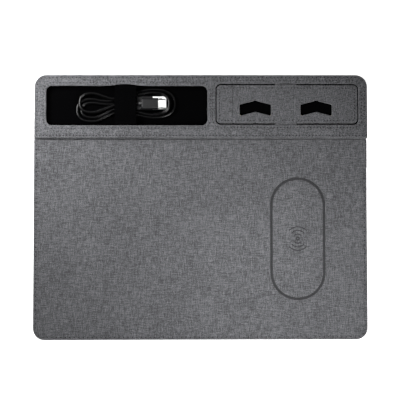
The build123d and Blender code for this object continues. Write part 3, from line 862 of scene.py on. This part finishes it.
def lobe(centre, radii, height, side, lift=0.0):
    """One end loop of the hank, clockwise from above, a little squarer than an ellipse."""
    points = []
    for k in range(10):
        angle = math.radians((130 if side == "right" else -50) - 260 * k / 9)
        c, s = math.cos(angle), math.sin(angle)
        x = centre[0] + radii[0] * math.copysign(abs(c) ** 0.85, c)
        y = centre[1] + radii[1] * math.copysign(abs(s) ** 0.8, s)
        points.append((x, y, height + lift * max(0.0, math.cos(1.25 * (angle - math.radians(5))))))
    return points


def cable_route():
    """From the USB-C plug, on top, through the hank's turns to the USB-A plug, in millimetres."""
    route = [
        (-55.7, 93.3, 10.4), (-60.0, 93.4, 10.2), (-64.5, 93.2, 9.5), (-69.0, 93.4, 8.6), (-77.0, 92.6, 7.3),
    ]
    # middle, radii, height, side, lift over the plug's tip, and the points under the elastic after it
    turns = [
        ((-98.3, 94.6), (10.9, 8.9), ON_TURN, "left", 0.0, [(-77.0, 96.8, 7.1), (-62.0, 103.2, 7.1)]),
        ((-42.0, 94.3), (19.4, 13.0), ON_FLOOR, "right", 0.0, [(-62.0, 83.6, 3.95), (-77.0, 87.0, 3.95)]),
        ((-98.9, 88.2), (12.9, 10.4), ON_FLOOR, "left", 0.0, [(-77.0, 96.6, 4.0), (-62.0, 100.6, 5.6)]),
        ((-43.0, 93.8), (15.4, 10.3), ON_TURN, "right", 2.2, [(-62.0, 87.3, 6.5), (-77.0, 90.2, 4.2)]),
        ((-97.7, 88.3), (10.2, 6.9), ON_FLOOR, "left", 0.0, [(-77.0, 93.4, 3.95), (-67.0, 94.4, 4.4)]),
    ]
    for centre, radii, height, side, lift, waist in turns:
        route += lobe(centre, radii, height, side, lift) + waist
    return route + [(-60.2, 94.6, 5.15)]


def make_cable():
    route = cable_route()
    curve = bpy.data.curves.new("charging_cable", "CURVE")
    curve.dimensions = "3D"
    spline = curve.splines.new("NURBS")
    spline.points.add(len(route) - 1)
    for point, place in zip(spline.points, route):
        point.co = (*[c * MM for c in place], 1.0)
    spline.order_u = 3
    spline.use_endpoint_u = True
    spline.resolution_u = 6
    cable = bpy.data.objects.new("charging_cable", curve)
    bpy.context.scene.collection.objects.link(cable)
    line = bpy.data.meshes.new_from_object(cable)
    places = [v.co.copy() for v in line.vertices]
    length = sum((b - a).length for a, b in zip(places, places[1:]))
    print("cable length", round(length, 4))
    curve.bevel_depth = CABLE_DIAMETER / 2
    curve.bevel_resolution = 4
    curve.use_fill_caps = True
    curve.materials.append(materials["cable_jacket"])
    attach(cable, "root")
    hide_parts("cable_hank", "cable_tail")


make_cable()


# ------------------------------------------------------------------ stage
def area_light(name, place, target, size, power, colour=(1, 1, 1)):
    data = bpy.data.lights.new(name, "AREA")
    data.shape = "RECTANGLE"
    data.size, data.size_y = size
    data.energy = power
    data.color = colour
    light = bpy.data.objects.new(name, data)
    light.location = place
    aim = Vector(target) - Vector(place)
    light.visible_camera = False
    light.rotation_euler = aim.to_track_quat("-Z", "Y").to_euler()
    bpy.context.scene.collection.objects.link(light)


def make_stage():
    bm = bmesh.new()
    bmesh.ops.create_grid(bm, x_segments=2, y_segments=2, size=2.5)
    mesh = bpy.data.meshes.new("table")
    bm.to_mesh(mesh)
    bm.free()
    floor = bpy.data.objects.new("table", mesh)
    white, tree, shader = new_material(
        "white_table",
        Roughness=0.9,
        Specular_IOR_Level=0.1,
        Emission_Color=(1, 1, 1, 1),
        Emission_Strength=1.0,
    )
    tint = ramp(tree, noise(tree, (0.01,) * 3), [(0.3, (0.9,) * 3), (0.7, (0.93,) * 3)])
    tree.links.new(tint, shader.inputs["Base Color"])
    mesh.materials.append(white)
    bpy.context.scene.collection.objects.link(floor)
    world = bpy.data.worlds.new("studio")
    world.use_nodes = True
    world.node_tree.nodes["Background"].inputs["Color"].default_value = (1, 1, 1, 1)
    world.node_tree.nodes["Background"].inputs["Strength"].default_value = 0.03
    bpy.context.scene.world = world
    area_light("left_rear", (-0.232, 0.157, 0.22), (-0.232, 0.157, 0), (0.12, 0.12), 1.95)
    area_light("right_front", (0.07, -0.08, 0.25), (0.07, -0.08, 0), (0.12, 0.12), 1.25)
    area_light("overhead", (-0.07, 0.27, 1.3), (-0.066, 0.09, 0), (0.3, 0.3), 0.9)
    bpy.context.scene.view_settings.view_transform = "Standard"
    bpy.context.scene.view_settings.look = "None"


make_stage()
